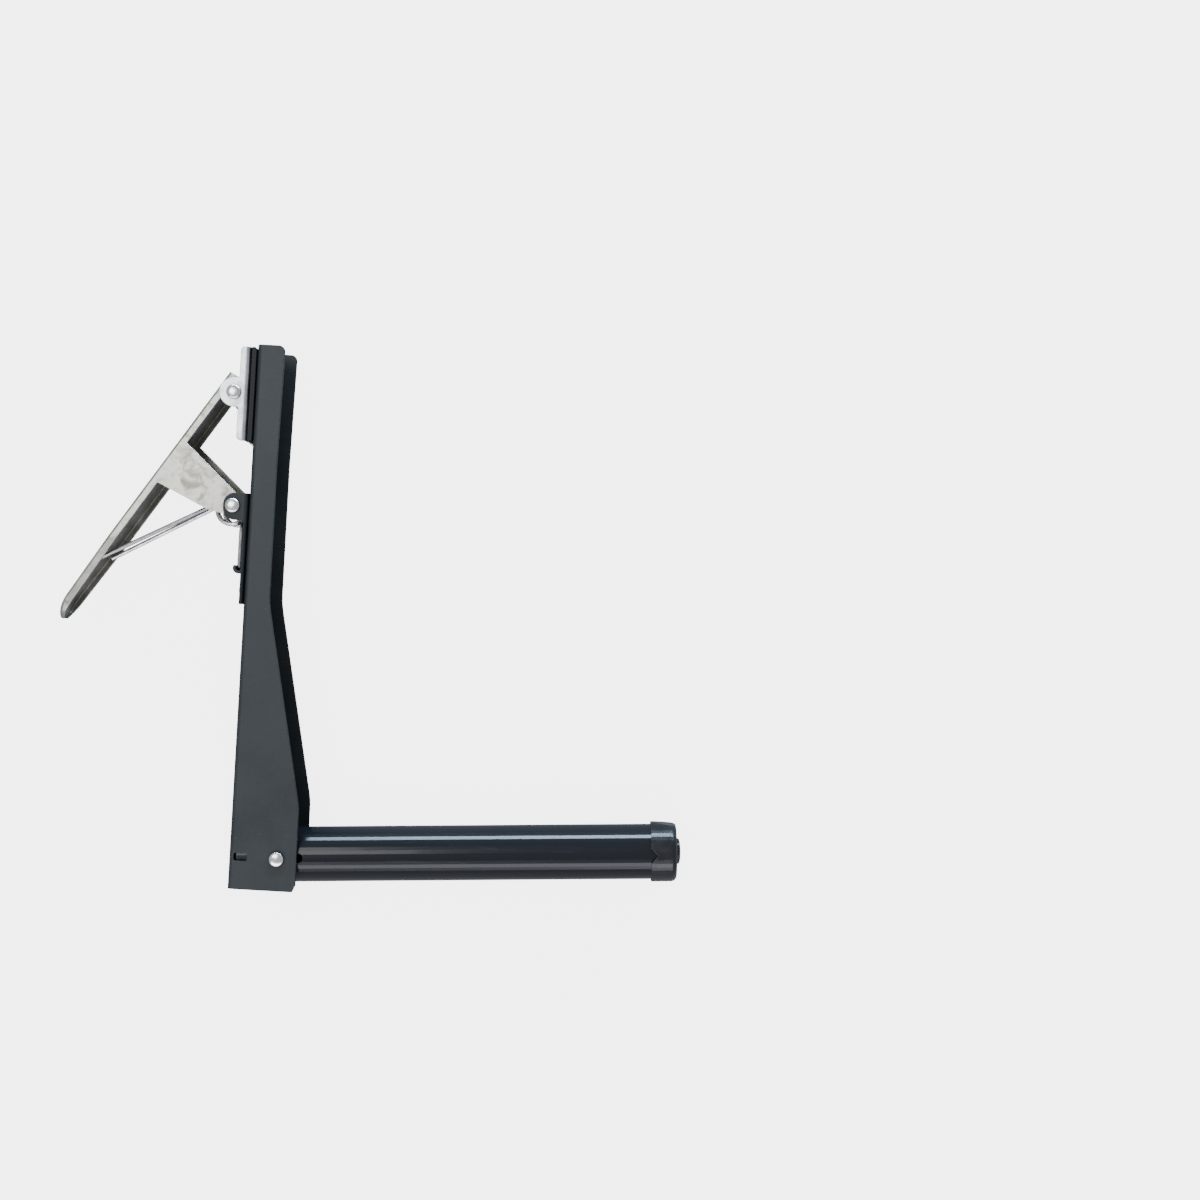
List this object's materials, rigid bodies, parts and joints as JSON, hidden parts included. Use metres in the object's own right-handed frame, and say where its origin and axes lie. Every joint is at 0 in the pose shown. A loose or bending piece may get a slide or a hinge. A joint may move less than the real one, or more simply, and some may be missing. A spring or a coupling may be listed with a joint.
{
  "type": "table tennis net clamp",
  "caption": "Sprung clamp for a table tennis net: a squeeze lever opens a padded jaw against a channel arm, and an upright post holds the net's end.",
  "frame": {"origin": "middle of the underside of the overall box, with the clamp lying on its side", "axes": "+X runs along the post from the jaw side to the cap, +Y along the arm towards the jaw end, +Z across the clamp and up from the surface it lies on"},
  "size_m": [0.2194, 0.186, 0.0248],
  "materials": {
    "arm_channel": "satin dark grey paint",
    "pivot_bracket": "satin black",
    "lever": "nickel plate, slightly stained",
    "jaw_plate": "bright zinc plate",
    "jaw_pad": "matte black",
    "pivot_pin": "bright domed heads",
    "jaw_pin": "bright domed heads",
    "post_rivet": "bright domed heads",
    "bracket_rivet_1": "bright",
    "bracket_rivet_2": "bright",
    "bracket_rivet_3": "bright",
    "bracket_rivet_4": "bright",
    "torsion_spring": "bright spring wire",
    "post_tube": "gloss black",
    "post_plug": "matte black",
    "post_cap": "semi-gloss black",
    "cap_stud": "semi-gloss black"
  },
  "bodies": {
    "arm": {"arm_channel": "arm_channel", "pivot_bracket": "pivot_bracket", "pivot_pin": "pivot_pin", "post_rivet": "post_rivet", "bracket_rivet_1": "bracket_rivet_1", "bracket_rivet_2": "bracket_rivet_2", "bracket_rivet_3": "bracket_rivet_3", "bracket_rivet_4": "bracket_rivet_4", "torsion_spring": "torsion_spring", "post_tube": "post_tube", "post_plug": "post_plug", "post_cap": "post_cap", "cap_stud": "cap_stud"},
    "lever": {"lever": "lever", "jaw_pin": "jaw_pin"},
    "jaw": {"jaw_plate": "jaw_plate", "jaw_pad": "jaw_pad"}
  },
  "joints": [
    {"name": "lever_pivot", "type": "hinge", "parent": "arm", "child": "lever", "pos_m": [-0.05012, 0.0376, 0.0124], "axis": [0, 0, 1], "range_deg": [0, 45], "stiffness_Nm_per_rad": 1.5, "springref_deg": -28.65, "deforming": ["torsion_spring"]},
    {"name": "jaw_pivot", "type": "hinge", "parent": "lever", "child": "jaw", "pos_m": [-0.05202, 0.0764, 0.0124], "axis": [0, 0, 1], "range_deg": [-45, 0]}
  ],
  "couplings": [
    {"joint": "jaw_pivot", "follows": "lever_pivot", "ratio": -1}
  ]
}
